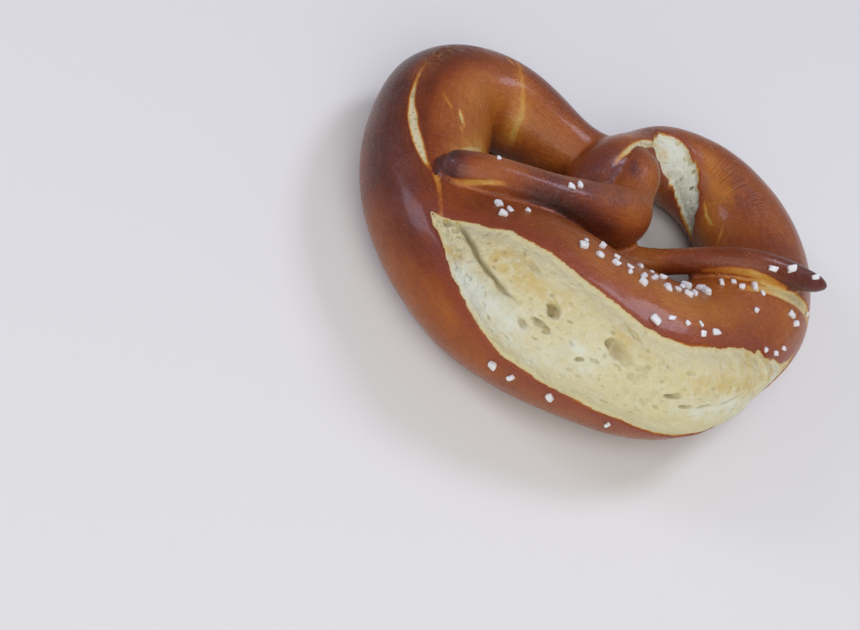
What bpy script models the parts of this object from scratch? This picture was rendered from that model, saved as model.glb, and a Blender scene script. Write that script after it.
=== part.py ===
"""A soft lye pretzel with a burst belly and coarse salt, lying on its flat base.

One rope of dough runs from the left arm's blunt end through the twist, round the
left loop, along the thick belly, round the right loop and back through the twist
to the right arm's pointed tip.  It is one solid, with its salt grains fused on.

Frame: metres, +Z up, z = 0 is the table, the belly faces -Y and the loops +Y.
A place on the rope's skin is given by two numbers: s, the way along the rope from
the belly's middle in millimetres, and an angle round the rope in degrees, 0 on the
pretzel's outer side, 90 on top, 180 on its inner side.
"""
import math
import random

import bmesh
import bpy
import numpy as np
from mathutils import Euler, Vector

MM = 0.001

# The rope's route, in millimetres: x, y, z of its middle and its half width.
ROUTE = [
    # left arm, from its blunt end
    (-56.0, -3.4, 33.6, 4.8),
    (-45.0, -2.8, 34.1, 6.0),
    (-32.5, -1.9, 33.3, 6.5),
    (-18.5, -0.6, 31.0, 7.5),
    (-5.0, 2.9, 27.9, 8.8),
    # bend of the left arm and the way beneath the right strand
    (5.0, 7.5, 24.5, 9.7),
    (8.0, 16.8, 24.3, 8.0),
    (9.5, 26.0, 23.5, 9.0),
    (2.0, 33.0, 16.5, 9.8),
    # left loop
    (-11.5, 37.0, 14.4, 12.0),
    (-23.0, 43.2, 14.4, 14.2),
    (-36.0, 46.8, 15.0, 15.6),
    (-50.0, 40.5, 15.8, 18.0),
    (-55.5, 23.0, 15.5, 19.4),
    (-54.5, 3.0, 15.5, 19.8),
    (-47.0, -13.5, 16.5, 21.2),
    # belly
    (-34.0, -24.2, 18.0, 25.5),
    (-18.5, -31.5, 20.0, 27.2),
    (0.0, -36.5, 20.0, 26.0),
    (21.2, -36.0, 19.0, 24.4),
    (37.8, -26.0, 17.5, 20.8),
    # right loop
    (51.0, -11.0, 16.0, 19.8),
    (57.5, 5.5, 15.2, 17.8),
    (55.6, 22.5, 14.5, 16.6),
    (47.8, 35.6, 14.0, 15.4),
    (37.5, 42.8, 14.0, 14.2),
    (26.0, 44.0, 14.8, 12.8),
    # over the left strand, beneath the left arm
    (14.0, 36.6, 18.0, 10.9),
    (4.0, 28.5, 22.0, 9.4),
    (-3.5, 14.0, 19.0, 8.8),
    (5.5, 0.0, 14.0, 6.9),
    # right arm, up on the loop and out to its tip
    (17.5, -3.2, 19.6, 4.6),
    (29.5, -4.6, 28.6, 4.1),
    (41.5, -5.2, 34.2, 4.4),
    (55.5, -5.5, 35.3, 4.1),
    (69.0, -6.0, 35.6, 2.3),
]
BELLY_ROW = 18               # the row of ROUTE at the belly's middle
FOOTPRINT_MIDDLE = (-0.1, -0.8)    # the route's numbers under the middle of the footprint
END_ROUNDING = 5.0           # length of the rope's rounded ends, mm
ROUTE_SAMPLES = 1200         # points read from the smooth curve through the route

# A thick stretch of soft dough sags: it is lower than wide.
SAG = 0.13                   # share of the height lost where the rope is thickest
SAG_FROM = 12.0              # half width at which sagging starts, mm
SAG_FULL = 20.0              # half width at which it is complete, mm

# Where the belly burst open: s, lower edge and upper edge in degrees.
BURST = [
    (-54.0, 58.0, 58.0),
    (-45.0, 48.0, 75.0),
    (-35.0, 32.0, 88.0),
    (-22.0, 14.0, 88.0),
    (-6.0, 9.0, 79.0),
    (8.0, 5.0, 72.0),
    (20.0, -6.0, 72.0),
    (30.0, -6.0, 68.0),
    (38.0, 4.0, 60.0),
    (44.0, 12.0, 47.0),
    (49.0, 18.0, 33.0),
    (54.0, 23.0, 24.0),
]
CRUMB_RISE = 2.0             # how far the burst crumb swells past the crust, mm
CRUMB_RISE_OVER = 9.0        # the way from the rim over which it swells, mm
RIM_GROOVE = 0.5             # depth of the groove inside the crust's rim, mm
RIM_GROOVE_WIDTH = 1.6       # half its width, mm
FOLD = [(-50.0, 60.0), (-36.0, 53.0), (-22.0, 43.0)]    # crease in the crumb: s, angle
FOLD_DEPTH = 2.6             # mm
FOLD_WIDTH = 3.0             # half its width, mm
FOLD_FADE = 5.0              # half the way over which it begins and ends, mm

# Where the right strand tore open behind the twist: s, lower and upper edge.
TEAR = [
    (101.0, 207.0, 211.0),
    (108.0, 186.0, 210.0),
    (114.0, 163.0, 202.0),
    (122.0, 142.0, 188.0),
    (130.0, 121.0, 178.0),
    (138.0, 95.0, 174.0),
    (145.0, 70.0, 166.0),
    (151.0, 78.0, 146.0),
    (155.0, 92.0, 118.0),
]
TEAR_DEPTH = 1.2             # mm
TEAR_RIM = 2.0               # width of its sloping sides, mm

# Coarse salt: angular grains that lie in small groups.
SALT_SIZE = 1.1              # a usual grain's half length, mm
SALT_SIZES = (0.7, 1.3)      # a grain's size lies between these shares of that
SALT_LENGTH = (0.85, 1.3)    # its length, width and height, as shares of its size
SALT_WIDTH = (0.6, 0.95)
SALT_HEIGHT = (0.55, 0.9)
SALT_CORNER = (0.72, 1.12)   # how far each corner is pushed in or out
SALT_SINK = 0.30             # share of a grain's height sunk in the crust
SALT_CLEAR = 2.2             # least distance between grains' middles, mm
SALT_SPREAD = 3.4            # how far a group's grains lie from its first, mm
SALT_RIM = 1.5               # least distance from the burst, mm
SALT_OTHER_STRETCH = 40.0    # stations this far along count as another stretch, mm
# Groups on each stretch: how many, the most grains in one, lowest and highest s,
# lowest and highest angle.
SALT_STRETCHES = [
    (2, 3, -46.0, -34.0, 86.0, 126.0),       # top of the belly, from left to right
    (7, 3, -20.0, 22.0, 94.0, 126.0),
    (3, 3, 4.0, 34.0, 80.0, 92.0),
    (4, 3, 34.0, 62.0, 80.0, 120.0),
    (4, 2, 38.0, 68.0, 36.0, 56.0),
    (4, 1, -28.0, 6.0, -4.0, 16.0),          # foot of the belly, under the burst
    (3, 1, -262.0, -204.0, 78.0, 114.0),     # left arm
    (3, 1, 243.0, 266.0, 30.0, 84.0),        # right arm
]
SALT_ATTEMPTS = 30
SALT_SEED = 456

# The rope's rings: how far apart they are, and the share of each ring's sides that
# lie across the burst, at these shares of its width, closer together by its rims.
SPACING_BASE = 2.6           # mm
SPACING_BY_WIDTH = 0.08      # added per mm of half width
END_SPACING = 0.4            # share of that spacing in the rounded ends
BURST_COLUMNS = [0.0, 0.045, 0.11, 0.2, 0.31, 0.43, 0.56, 0.69, 0.8, 0.89, 0.955, 1.0]
OTHER_COLUMNS = 20
BURST_LEAST_SPREAD = 30.0    # degrees kept for those sides where the burst is narrow
BURST_FADE = 50.0            # mm past the burst's ends over which the sides even out

CRUST_COLOUR = (0.30, 0.085, 0.018, 1.0)
CRUST_ROUGHNESS = 0.35
SHARP_ANGLE = math.radians(38.0)


def clear_scene():
    for item in list(bpy.data.objects):
        bpy.data.objects.remove(item, do_unlink=True)


def smoothstep(low, high, value):
    t = np.clip((value - low) / (high - low), 0.0, 1.0)
    return t * t * (3.0 - 2.0 * t)


def spline(knots, values, where):
    """Natural cubic spline through values at knots, read at where."""
    count = len(knots)
    step = np.diff(knots)
    slope = np.diff(values, axis=0) / step[:, None]
    system = np.eye(count)
    right = np.zeros_like(values)
    for i in range(1, count - 1):
        system[i, i - 1:i + 2] = (step[i - 1], 2 * (step[i - 1] + step[i]), step[i])
        right[i] = 6 * (slope[i] - slope[i - 1])
    bend = np.linalg.solve(system, right)
    cell = np.clip(np.searchsorted(knots, where, side="right") - 1, 0, count - 2)
    h = step[cell][:, None]
    t = (where - knots[cell])[:, None]
    first = slope[cell] - h * (2 * bend[cell] + bend[cell + 1]) / 6
    third = (bend[cell + 1] - bend[cell]) / (6 * h)
    return values[cell] + t * first + t ** 2 * bend[cell] / 2 + t ** 3 * third


def path_length(points):
    steps = np.linalg.norm(np.diff(points, axis=0), axis=1)
    return np.concatenate(([0.0], np.cumsum(steps)))


class Rope:
    """The dough rope: stations along its route, each with a frame and a half width."""

    def __init__(self):
        rows = np.array(ROUTE)
        rows[:, :2] -= FOOTPRINT_MIDDLE
        knots = path_length(rows[:, :3])
        fine = np.linspace(0.0, knots[-1], ROUTE_SAMPLES)
        dense = spline(knots, rows, fine)
        length = path_length(dense[:, :3])
        belly = np.interp(knots[BELLY_ROW], fine, length)
        where = [0.0]
        while where[-1] < length[-1]:
            width = np.interp(where[-1], length, dense[:, 3])
            near_end = min(where[-1], length[-1] - where[-1]) < END_ROUNDING
            step = SPACING_BASE + SPACING_BY_WIDTH * width
            where.append(where[-1] + step * (END_SPACING if near_end else 1.0))
        where = np.array(where) * length[-1] / where[-1]
        self.s = where - belly
        self.centre = np.stack([np.interp(where, length, dense[:, k]) for k in range(3)], axis=1)
        self.half = np.interp(where, length, dense[:, 3])
        from_end = np.clip(np.minimum(where, length[-1] - where) / END_ROUNDING, 0, 1)
        self.half = self.half * np.sqrt(1 - (1 - from_end) ** 2)
        along = np.gradient(self.centre, axis=0)
        along /= np.linalg.norm(along, axis=1)[:, None]
        up = np.array([0.0, 0.0, 1.0]) - along[:, 2:3] * along
        self.up = up / np.linalg.norm(up, axis=1)[:, None]
        self.out = np.cross(along, self.up)

    def skin(self, i, degrees):
        """The point of the skin at station i and an angle round the rope, in mm."""
        angle = math.radians(degrees)
        half = self.half[i]
        lift = relief(self.s[i], (degrees + 90.0) % 360.0 - 90.0, half)
        sagged = 1 - SAG * np.clip((half - SAG_FROM) / (SAG_FULL - SAG_FROM), 0, 1)
        point = (self.centre[i]
                 + (half + lift) * math.cos(angle) * self.out[i]
                 + (half * sagged + lift) * math.sin(angle) * self.up[i])
        point[2] = max(point[2], 0.0)
        return Vector(point)


def burst_edges(s):
    rows = np.array(BURST)
    return np.interp(s, rows[:, 0], rows[:, 1]), np.interp(s, rows[:, 0], rows[:, 2])


def inside(lower, upper, degrees, half):
    """How far inside the lower and upper edge a place on the skin is, in mm."""
    return np.minimum(degrees - lower, upper - degrees) * math.pi / 180 * half


def burst_relief(s, degrees, half):
    """The burst's crumb swells out of its crust, with a fold along its outer part."""
    depth = inside(*burst_edges(s), degrees, half)
    crumb = CRUMB_RISE * smoothstep(0.0, CRUMB_RISE_OVER, depth)
    crumb = crumb - RIM_GROOVE * np.exp(-((depth - RIM_GROOVE_WIDTH) / RIM_GROOVE_WIDTH) ** 2)
    line = np.array(FOLD)
    begins = smoothstep(line[0, 0] - FOLD_FADE, line[0, 0] + FOLD_FADE, s)
    ends = smoothstep(line[-1, 0] - FOLD_FADE, line[-1, 0] + FOLD_FADE, s)
    across = (degrees - np.interp(s, line[:, 0], line[:, 1])) * math.pi / 180 * half
    crumb = crumb - FOLD_DEPTH * begins * (1 - ends) * np.exp(-(across / FOLD_WIDTH) ** 2)
    return np.where(depth > 0.0, crumb, 0.0)


def tear_relief(s, degrees, half):
    """The tear behind the twist is a shallow hollow."""
    rows = np.array(TEAR)
    lower = np.interp(s, rows[:, 0], rows[:, 1])
    upper = np.interp(s, rows[:, 0], rows[:, 2])
    return -TEAR_DEPTH * smoothstep(0.0, TEAR_RIM, inside(lower, upper, degrees, half))


def relief(s, degrees, half):
    """Height of the skin over the plain round rope, in mm."""
    return burst_relief(s, degrees, half) + tear_relief(s, degrees, half)


def ring_angles(s):
    """Degrees of a ring's sides: even, but along the burst some follow its edges."""
    lower, upper = burst_edges(s)
    middle = (lower + upper) / 2
    spread = max(upper - lower, BURST_LEAST_SPREAD)
    across = middle + spread * (np.array(BURST_COLUMNS) - 0.5)
    around = np.linspace(across[-1], across[0] + 360.0, OTHER_COLUMNS + 2)[1:-1]
    gathered = np.concatenate((across, around))
    step = 360.0 / len(gathered)
    even = middle + step * (np.arange(len(gathered)) - (len(across) - 1) / 2)
    past = max(BURST[0][0] - s, s - BURST[-1][0], 0.0)
    return even + (gathered - even) * (1 - smoothstep(0.0, BURST_FADE, past))


def rope_mesh(rope):
    """The rope as one closed tube, its ends closed to a point."""
    mesh = bmesh.new()
    rings = []
    for i in range(1, len(rope.s) - 1):
        ring = []
        for degrees in ring_angles(rope.s[i]):
            ring.append(mesh.verts.new(rope.skin(i, degrees) * MM))
        rings.append(ring)
    for ring, following in zip(rings, rings[1:]):
        for k in range(len(ring)):
            n = (k + 1) % len(ring)
            mesh.faces.new((ring[k], following[k], following[n], ring[n]))
    start = mesh.verts.new(Vector(rope.centre[0]) * MM)
    end = mesh.verts.new(Vector(rope.centre[-1]) * MM)
    for k in range(len(rings[0])):
        n = (k + 1) % len(rings[0])
        mesh.faces.new((start, rings[0][k], rings[0][n]))
        mesh.faces.new((end, rings[-1][n], rings[-1][k]))
    bmesh.ops.recalc_face_normals(mesh, faces=mesh.faces)
    data = bpy.data.meshes.new("pretzel")
    mesh.to_mesh(data)
    mesh.free()
    return data


def salt_places(rope):
    """Middle, outward direction and size of each grain, by a seeded rule."""
    draw = random.Random(SALT_SEED)
    grains = []
    for groups, most, s_low, s_high, low, high in SALT_STRETCHES:
        for k in range(groups):
            first, wanted = None, draw.randint(1, most)
            for attempt in range(SALT_ATTEMPTS):
                if first is None:
                    s = s_low + (s_high - s_low) * (k + draw.random()) / groups
                    degrees = draw.uniform(low, high)
                else:
                    s = first[0] + SALT_SPREAD * draw.uniform(-1.0, 1.0)
                    round_it = SALT_SPREAD * draw.uniform(-1.0, 1.0)
                    degrees = first[1] + math.degrees(round_it / rope.half[i])
                size = SALT_SIZE * draw.uniform(*SALT_SIZES)
                i = int(np.argmin(np.abs(rope.s - s)))
                middle = rope.skin(i, degrees)
                if wanted and salt_fits(rope, i, degrees, middle, grains):
                    outward = (middle - Vector(rope.centre[i])).normalized()
                    lift = SALT_HEIGHT[0] * (1 - 2 * SALT_SINK)
                    grains.append((middle + outward * size * lift, outward, size))
                    first = first or (s, degrees)
                    wanted -= 1
    return grains


def salt_fits(rope, i, degrees, middle, grains):
    """A grain lies on crust, clear of the rope's other stretches and of other grains."""
    if inside(*burst_edges(rope.s[i]), degrees, rope.half[i]) > -SALT_RIM:
        return False
    away = np.linalg.norm(rope.centre - np.array(middle), axis=1) - rope.half
    other = np.abs(rope.s - rope.s[i]) > SALT_OTHER_STRETCH
    if np.min(away[other]) < SALT_SIZE * 2:
        return False
    return all((middle - grain[0]).length > SALT_CLEAR for grain in grains)


def salt_grain(number, middle, outward, size, draw):
    """One angular grain: a block with its corners pushed in and out."""
    mesh = bmesh.new()
    bmesh.ops.create_cube(mesh, size=2.0)
    length = draw.uniform(*SALT_LENGTH)
    width = draw.uniform(*SALT_WIDTH)
    height = draw.uniform(*SALT_HEIGHT)
    for corner in mesh.verts:
        corner.co = corner.co * Vector((length, width, height)) * draw.uniform(*SALT_CORNER)
    bmesh.ops.triangulate(mesh, faces=mesh.faces)
    spin = Euler((0.0, 0.0, draw.uniform(0.0, math.tau))).to_matrix()
    turn = outward.to_track_quat("Z", "X").to_matrix() @ spin
    for corner in mesh.verts:
        corner.co = (turn @ corner.co * size + middle) * MM
    data = bpy.data.meshes.new("grain")
    mesh.to_mesh(data)
    mesh.free()
    return bpy.data.objects.new("grain_%02d" % number, data)


def salt_collection(rope):
    grains = bpy.data.collections.new("salt")
    draw = random.Random(SALT_SEED)
    for number, place in enumerate(salt_places(rope)):
        grains.objects.link(salt_grain(number, *place, draw))
    return grains


def fuse(body, grains):
    """Join the rope where it crosses itself, and the grains with it, into one body."""
    bpy.context.scene.collection.children.link(grains)
    union = body.modifiers.new("fuse", "BOOLEAN")
    union.operation = "UNION"
    union.operand_type = "COLLECTION"
    union.collection = grains
    union.solver = "EXACT"
    union.use_self = True
    depsgraph = bpy.context.evaluated_depsgraph_get()
    fused = bpy.data.meshes.new_from_object(body.evaluated_get(depsgraph))
    body.modifiers.remove(union)
    body.data = fused
    for grain in list(grains.objects):
        bpy.data.objects.remove(grain, do_unlink=True)
    bpy.data.collections.remove(grains)


def keep_outer_shell(body):
    """Drop what fusing sealed in: every piece of skin but the largest."""
    mesh = bmesh.new()
    mesh.from_mesh(body.data)
    unseen = set(mesh.verts)
    shells = []
    while unseen:
        shell = [unseen.pop()]
        for corner in shell:
            for edge in corner.link_edges:
                other = edge.other_vert(corner)
                if other in unseen:
                    unseen.remove(other)
                    shell.append(other)
        shells.append(shell)
    shells.sort(key=len)
    for shell in shells[:-1]:
        bmesh.ops.delete(mesh, geom=shell, context="VERTS")
    mesh.to_mesh(body.data)
    mesh.free()


def crust_material():
    material = bpy.data.materials.new("crust")
    material.use_nodes = True
    shader = material.node_tree.nodes["Principled BSDF"]
    shader.inputs["Base Color"].default_value = CRUST_COLOUR
    shader.inputs["Roughness"].default_value = CRUST_ROUGHNESS
    shader.inputs["Metallic"].default_value = 0.0
    return material


def build():
    clear_scene()
    rope = Rope()
    body = bpy.data.objects.new("pretzel", rope_mesh(rope))
    bpy.context.scene.collection.objects.link(body)
    fuse(body, salt_collection(rope))
    keep_outer_shell(body)
    body.data.shade_smooth()
    body.data.set_sharp_from_angle(angle=SHARP_ANGLE)
    body.data.materials.clear()
    body.data.materials.append(crust_material())
    return body


build()
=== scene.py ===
"""A soft lye pretzel: its looks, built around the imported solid.

Four finer pieces stand for its one node, "pretzel": the crust, the crumb that shows
in the burst belly, the crumb in the torn strand, and the salt.

A place on the rope's skin is given by s, the way along the rope from the belly's
middle, and an angle round the rope in degrees, 0 on the pretzel's outer side, 90 on
top, 180 on its inner side.  Lengths are in millimetres; MM turns them into metres.
"""

import itertools
import math
import random

import bmesh
import bpy
import numpy as np
from mathutils import Euler, Matrix, Vector


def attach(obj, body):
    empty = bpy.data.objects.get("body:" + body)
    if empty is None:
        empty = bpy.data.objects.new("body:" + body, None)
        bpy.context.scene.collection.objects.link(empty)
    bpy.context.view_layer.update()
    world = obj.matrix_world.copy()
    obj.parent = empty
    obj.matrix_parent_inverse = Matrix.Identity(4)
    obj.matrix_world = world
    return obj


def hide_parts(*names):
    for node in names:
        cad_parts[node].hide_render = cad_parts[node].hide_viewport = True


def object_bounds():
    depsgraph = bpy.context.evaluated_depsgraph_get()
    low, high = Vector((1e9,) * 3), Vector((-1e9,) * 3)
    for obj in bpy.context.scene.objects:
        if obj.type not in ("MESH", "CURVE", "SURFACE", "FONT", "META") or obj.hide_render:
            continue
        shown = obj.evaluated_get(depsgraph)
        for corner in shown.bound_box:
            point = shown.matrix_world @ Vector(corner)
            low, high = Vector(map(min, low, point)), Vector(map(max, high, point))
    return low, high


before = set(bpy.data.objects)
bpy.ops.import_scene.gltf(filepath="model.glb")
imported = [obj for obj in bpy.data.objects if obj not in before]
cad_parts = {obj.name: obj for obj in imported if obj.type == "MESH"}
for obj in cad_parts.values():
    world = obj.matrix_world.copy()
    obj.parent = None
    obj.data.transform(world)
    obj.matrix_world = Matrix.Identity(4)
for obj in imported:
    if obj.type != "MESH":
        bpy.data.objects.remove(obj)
CAD_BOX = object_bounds()
scene = bpy.context.scene

MM = 0.001

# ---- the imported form
# These numbers, and the functions that read them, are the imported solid's own.

# The rope's route: x, y, z of its middle and its half width.
ROUTE = [
    # left arm, from its blunt end
    (-56, -3.4, 33.6, 4.8), (-45, -2.8, 34.1, 6), (-32.5, -1.9, 33.3, 6.5),
    (-18.5, -0.6, 31, 7.5), (-5, 2.9, 27.9, 8.8),
    # its bend, and the way beneath the right strand
    (5, 7.5, 24.5, 9.7), (8, 16.8, 24.3, 8), (9.5, 26, 23.5, 9), (2, 33, 16.5, 9.8),
    # left loop
    (-11.5, 37, 14.4, 12), (-23, 43.2, 14.4, 14.2), (-36, 46.8, 15, 15.6),
    (-50, 40.5, 15.8, 18), (-55.5, 23, 15.5, 19.4), (-54.5, 3, 15.5, 19.8),
    (-47, -13.5, 16.5, 21.2),
    # belly
    (-34, -24.2, 18, 25.5), (-18.5, -31.5, 20, 27.2), (0, -36.5, 20, 26),
    (21.2, -36, 19, 24.4), (37.8, -26, 17.5, 20.8),
    # right loop
    (51, -11, 16, 19.8), (57.5, 5.5, 15.2, 17.8), (55.6, 22.5, 14.5, 16.6),
    (47.8, 35.6, 14, 15.4), (37.5, 42.8, 14, 14.2), (26, 44, 14.8, 12.8),
    # over the left strand, beneath the left arm
    (14, 36.6, 18, 10.9), (4, 28.5, 22, 9.4), (-3.5, 14, 19, 8.8), (5.5, 0, 14, 6.9),
    # right arm, up on the loop and out to its tip
    (17.5, -3.2, 19.6, 4.6), (29.5, -4.6, 28.6, 4.1), (41.5, -5.2, 34.2, 4.4),
    (55.5, -5.5, 35.3, 4.1), (69, -6, 35.6, 2.3),
]
BELLY_ROW = 18  # the row of ROUTE at the belly's middle
FOOTPRINT_MIDDLE = (-0.1, -0.8)  # the footprint's middle, in the route's numbers
END_ROUNDING = 5  # length of the rope's rounded ends
ROUTE_SAMPLES = 1200  # points on the smooth curve through it

SAG = 0.13  # share of the height lost where the rope is thickest
SAG_FROM = 12  # half width at which sagging starts
SAG_FULL = 20  # and at which it is complete

# Where the belly burst open: s, lower edge and upper edge in degrees.
BURST = [
    (-54, 58, 58), (-45, 48, 75), (-35, 32, 88), (-22, 14, 88), (-6, 9, 79), (8, 5, 72),
    (20, -6, 72), (30, -6, 68), (38, 4, 60), (44, 12, 47), (49, 18, 33), (54, 23, 24),
]
CRUMB_RISE = 2  # how far the burst crumb swells past the crust
CRUMB_RISE_OVER = 9  # the way from the rim over which it swells
RIM_GROOVE = 0.5  # depth of the groove inside the crust's rim
RIM_GROOVE_WIDTH = 1.6  # half its width

# Where the right strand tore open behind the twist: s, lower and upper edge.
TEAR = [
    (101, 207, 211), (108, 186, 210), (114, 163, 202), (122, 142, 188), (130, 121, 178),
    (138, 95, 174), (145, 70, 166), (151, 78, 146), (155, 92, 118),
]
TEAR_DEPTH = 1.2
TEAR_RIM = 2  # width of its sloping sides

# Coarse salt, in small groups.
SALT_SIZE = 1.1  # a usual grain's half length
SALT_SIZES = (0.7, 1.3)  # a grain's size, as shares of that
# A grain's length, width and height lie between these shares of its size.
SALT_SHARES = ((0.85, 1.3), (0.6, 0.95), (0.55, 0.9))
SALT_CORNER = (0.72, 1.12)  # how far each corner is pushed in or out
SALT_SINK = 0.3  # share of its height in the crust
SALT_CLEAR = 2.2  # least distance between grains' middles
SALT_SPREAD = 3.4  # how far a group's grains lie from its first
SALT_RIM = 1.5  # least distance from the burst
SALT_OTHER_STRETCH = 40  # from here along it is another stretch of rope
# Each stretch: its groups, the most grains in one, lowest and highest s and angle.
SALT_STRETCHES = [
    (2, 3, -46, -34, 86, 126),  # top of the belly, from left to right
    (7, 3, -20, 22, 94, 126),
    (3, 3, 4, 34, 80, 92),
    (4, 3, 34, 62, 80, 120),
    (4, 2, 38, 68, 36, 56),
    (4, 1, -28, 6, -4, 16),  # foot of the belly, under the burst
    (3, 1, -262, -204, 78, 114),  # left arm
    (3, 1, 243, 266, 30, 84),  # right arm
]
SALT_ATTEMPTS = 30
SALT_SEED = 456
SPACING_BASE = 2.6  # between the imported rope's rings
SPACING_BY_WIDTH = 0.08  # added for each mm of half width
END_SPACING = 0.4  # share of that in the rounded ends


def smoothstep(low, high, value):
    t = np.clip((value - low) / (high - low), 0, 1)
    return t * t * (3 - 2 * t)


def spline(knots, values, where):
    """Natural cubic spline through values at knots, read at where."""
    count = len(knots)
    step = np.diff(knots)
    slope = np.diff(values, axis=0) / step[:, None]
    system = np.eye(count)
    right = np.zeros_like(values)
    for i in range(1, count - 1):
        system[i, i - 1:i + 2] = (step[i - 1], 2 * (step[i - 1] + step[i]), step[i])
        right[i] = 6 * (slope[i] - slope[i - 1])
    bend = np.linalg.solve(system, right)
    cell = np.clip(np.searchsorted(knots, where, side="right") - 1, 0, count - 2)
    h = step[cell][:, None]
    t = (where - knots[cell])[:, None]
    first = slope[cell] - h * (2 * bend[cell] + bend[cell + 1]) / 6
    third = (bend[cell + 1] - bend[cell]) / (6 * h)
    return values[cell] + t * first + t ** 2 * bend[cell] / 2 + t ** 3 * third


def path_length(points):
    steps = np.linalg.norm(np.diff(points, axis=0), axis=1)
    return np.concatenate(([0], np.cumsum(steps)))


class Rope:
    """Stations along the rope's route, each with a frame and a half width."""

    def __init__(self, spacing=None):
        """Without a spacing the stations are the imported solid's."""
        rows = np.array(ROUTE)
        rows[:, :2] -= FOOTPRINT_MIDDLE
        knots = path_length(rows[:, :3])
        fine = np.linspace(0, knots[-1], ROUTE_SAMPLES)
        dense = spline(knots, rows, fine)
        length = path_length(dense[:, :3])
        belly = np.interp(knots[BELLY_ROW], fine, length)
        where = [0]
        while where[-1] < length[-1]:
            width = np.interp(where[-1], length, dense[:, 3])
            near_end = min(where[-1], length[-1] - where[-1]) < END_ROUNDING
            step = spacing or SPACING_BASE + SPACING_BY_WIDTH * width
            where.append(where[-1] + step * (END_SPACING if near_end else 1))
        where = np.array(where) * length[-1] / where[-1]
        self.s = where - belly
        self.centre = np.stack([np.interp(where, length, dense[:, k]) for k in range(3)], axis=1)
        self.half = np.interp(where, length, dense[:, 3])
        from_end = np.clip(np.minimum(where, length[-1] - where) / END_ROUNDING, 0, 1)
        self.half = self.half * np.sqrt(1 - (1 - from_end) ** 2)
        along = np.gradient(self.centre, axis=0)
        self.along = along / np.linalg.norm(along, axis=1)[:, None]
        up = np.array([0, 0, 1]) - self.along[:, 2:3] * self.along
        self.up = up / np.linalg.norm(up, axis=1)[:, None]
        self.out = np.cross(self.along, self.up)

    def at(self, s):
        """Middle, half width, height as a share of width, up and out at s."""
        s = np.asarray(s, float)
        half = np.interp(s, self.s, self.half)
        sagged = 1 - SAG * np.clip((half - SAG_FROM) / (SAG_FULL - SAG_FROM), 0, 1)
        rows = [np.stack([np.interp(s, self.s, part[:, k]) for k in range(3)], axis=-1)
                for part in (self.centre, self.up, self.out)]
        return rows[0], half, sagged, rows[1], rows[2]

    def skin(self, s, degrees, lift=0):
        """Points of the skin, lifted by lift."""
        centre, half, sagged, up, out = self.at(s)
        angle = np.radians(degrees)
        wide = ((half + lift) * np.cos(angle))[..., None]
        high = ((half * sagged + lift) * np.sin(angle))[..., None]
        points = centre + wide * out + high * up
        points[..., 2] = np.maximum(points[..., 2], 0)
        return points

    def ahead(self, points, s):
        """How far each point lies ahead of the cross-section at its s."""
        centre, half, sagged, up, out = self.at(s)
        return np.einsum("ij,ij->i", points - centre, np.cross(up, out))

    def nearest(self, points):
        """For each point: s, angle, and how far off the nearest other strand is."""
        stretch = 1 / self.at(self.s)[2] ** 2 - 1
        s, degrees, gap = [], [], []
        for part in np.array_split(points, max(1, len(points) // CHUNK)):
            away = part[:, None, :] - self.centre[None, :, :]
            high = np.einsum("ijk,jk->ij", away, self.up)
            over = np.sqrt(np.sum(away ** 2, axis=2) + stretch * high ** 2) - self.half
            here = self.s[np.argmin(over, axis=1)]
            other = np.abs(self.s[None, :] - here[:, None]) > SALT_OTHER_STRETCH
            gap.append(np.min(np.where(other, over, np.inf), axis=1))
            for step in range(FOOT_STEPS):
                ahead = self.ahead(part, here)
                slope = np.maximum(ahead - self.ahead(part, here + 1), FOOT_SLOPE)
                here = here + np.clip(ahead / slope, -FOOT_STRIDE, FOOT_STRIDE)
            centre, half, sagged, up, out = self.at(here)
            high = np.einsum("ij,ij->i", part - centre, up) / sagged
            wide = np.einsum("ij,ij->i", part - centre, out)
            s.append(here)
            degrees.append(np.degrees(np.arctan2(high, wide)))
        s, degrees, gap = (np.concatenate(part) for part in (s, degrees, gap))
        return s, (degrees + 90) % 360 - 90, gap


CHUNK = 4000  # points handled at once
# A point's s is found by a few of Newton's steps.
FOOT_STEPS = 5
FOOT_SLOPE = 0.3  # least slope that they take
FOOT_STRIDE = 2  # and their longest stride

# ---- finer form
ROPE_SPACING = 1  # between the stations of the finer rope
CRUST_SIDES = 96  # points round it
CRUST_GRID = 0.8  # cell of the crust's mesh
CRUST_SMOOTHING = 2  # rounds of smoothing where strands meet
SINGLE_FROM = 0.3  # this far from other strands the skin is the plain rope's
SINGLE_FULL = 1.4
RIM_LIP = 0.12  # how far the crust stands up by the rim
RIM_LIP_BACK = 1.6  # how far from the rim it stands highest
RIM_LIP_WIDTH = 1.5
STRANDS_CLEAR = 5  # the crust's lumps fade this near to another strand
RECESS_DEPTH = 4.5  # the crust falls away this far under the crumb
RECESS_WIDTH = 2.6  # over this way from its rim
CRUMB_STEP = 0.26  # the crumb's mesh, along the rope
CRUMB_COLUMNS = 140  # and its cells across
CRUMB_MARGIN = 1.3  # how far the crumb runs on beneath the crust

# Lumpy relief: height, size and seed of each noise.
CRUST_LUMPS = [(0.28, 17, 1), (0.12, 7, 2)]
BURST_LUMPS = [(0.4, 7, 51), (0.22, 3.2, 52), (0.1, 1.5, 53), (0.05, 0.7, 54)]
TORN_LUMPS = [(0.3, 4, 55), (0.18, 1.8, 56), (0.06, 0.8, 57)]
TORN_SUNK = 0.4  # how far the tear's crumb lies under the crust at its rim

# How far the burst's edge strays, and over what length.
EDGE_STRAY = 0.45
EDGE_STRAY_LENGTH = 4
EDGE_FADE = 4  # the way from its ends over which it begins to stray
RAGGED_EDGE = (33, 55)  # stretch of the upper edge that tore raggedly
RAGGED_STRAY = 1.1
RAGGED_LENGTH = 2.2
TEAR_STRAY = 1.1
TEAR_STRAY_LENGTH = 3.6

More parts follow.
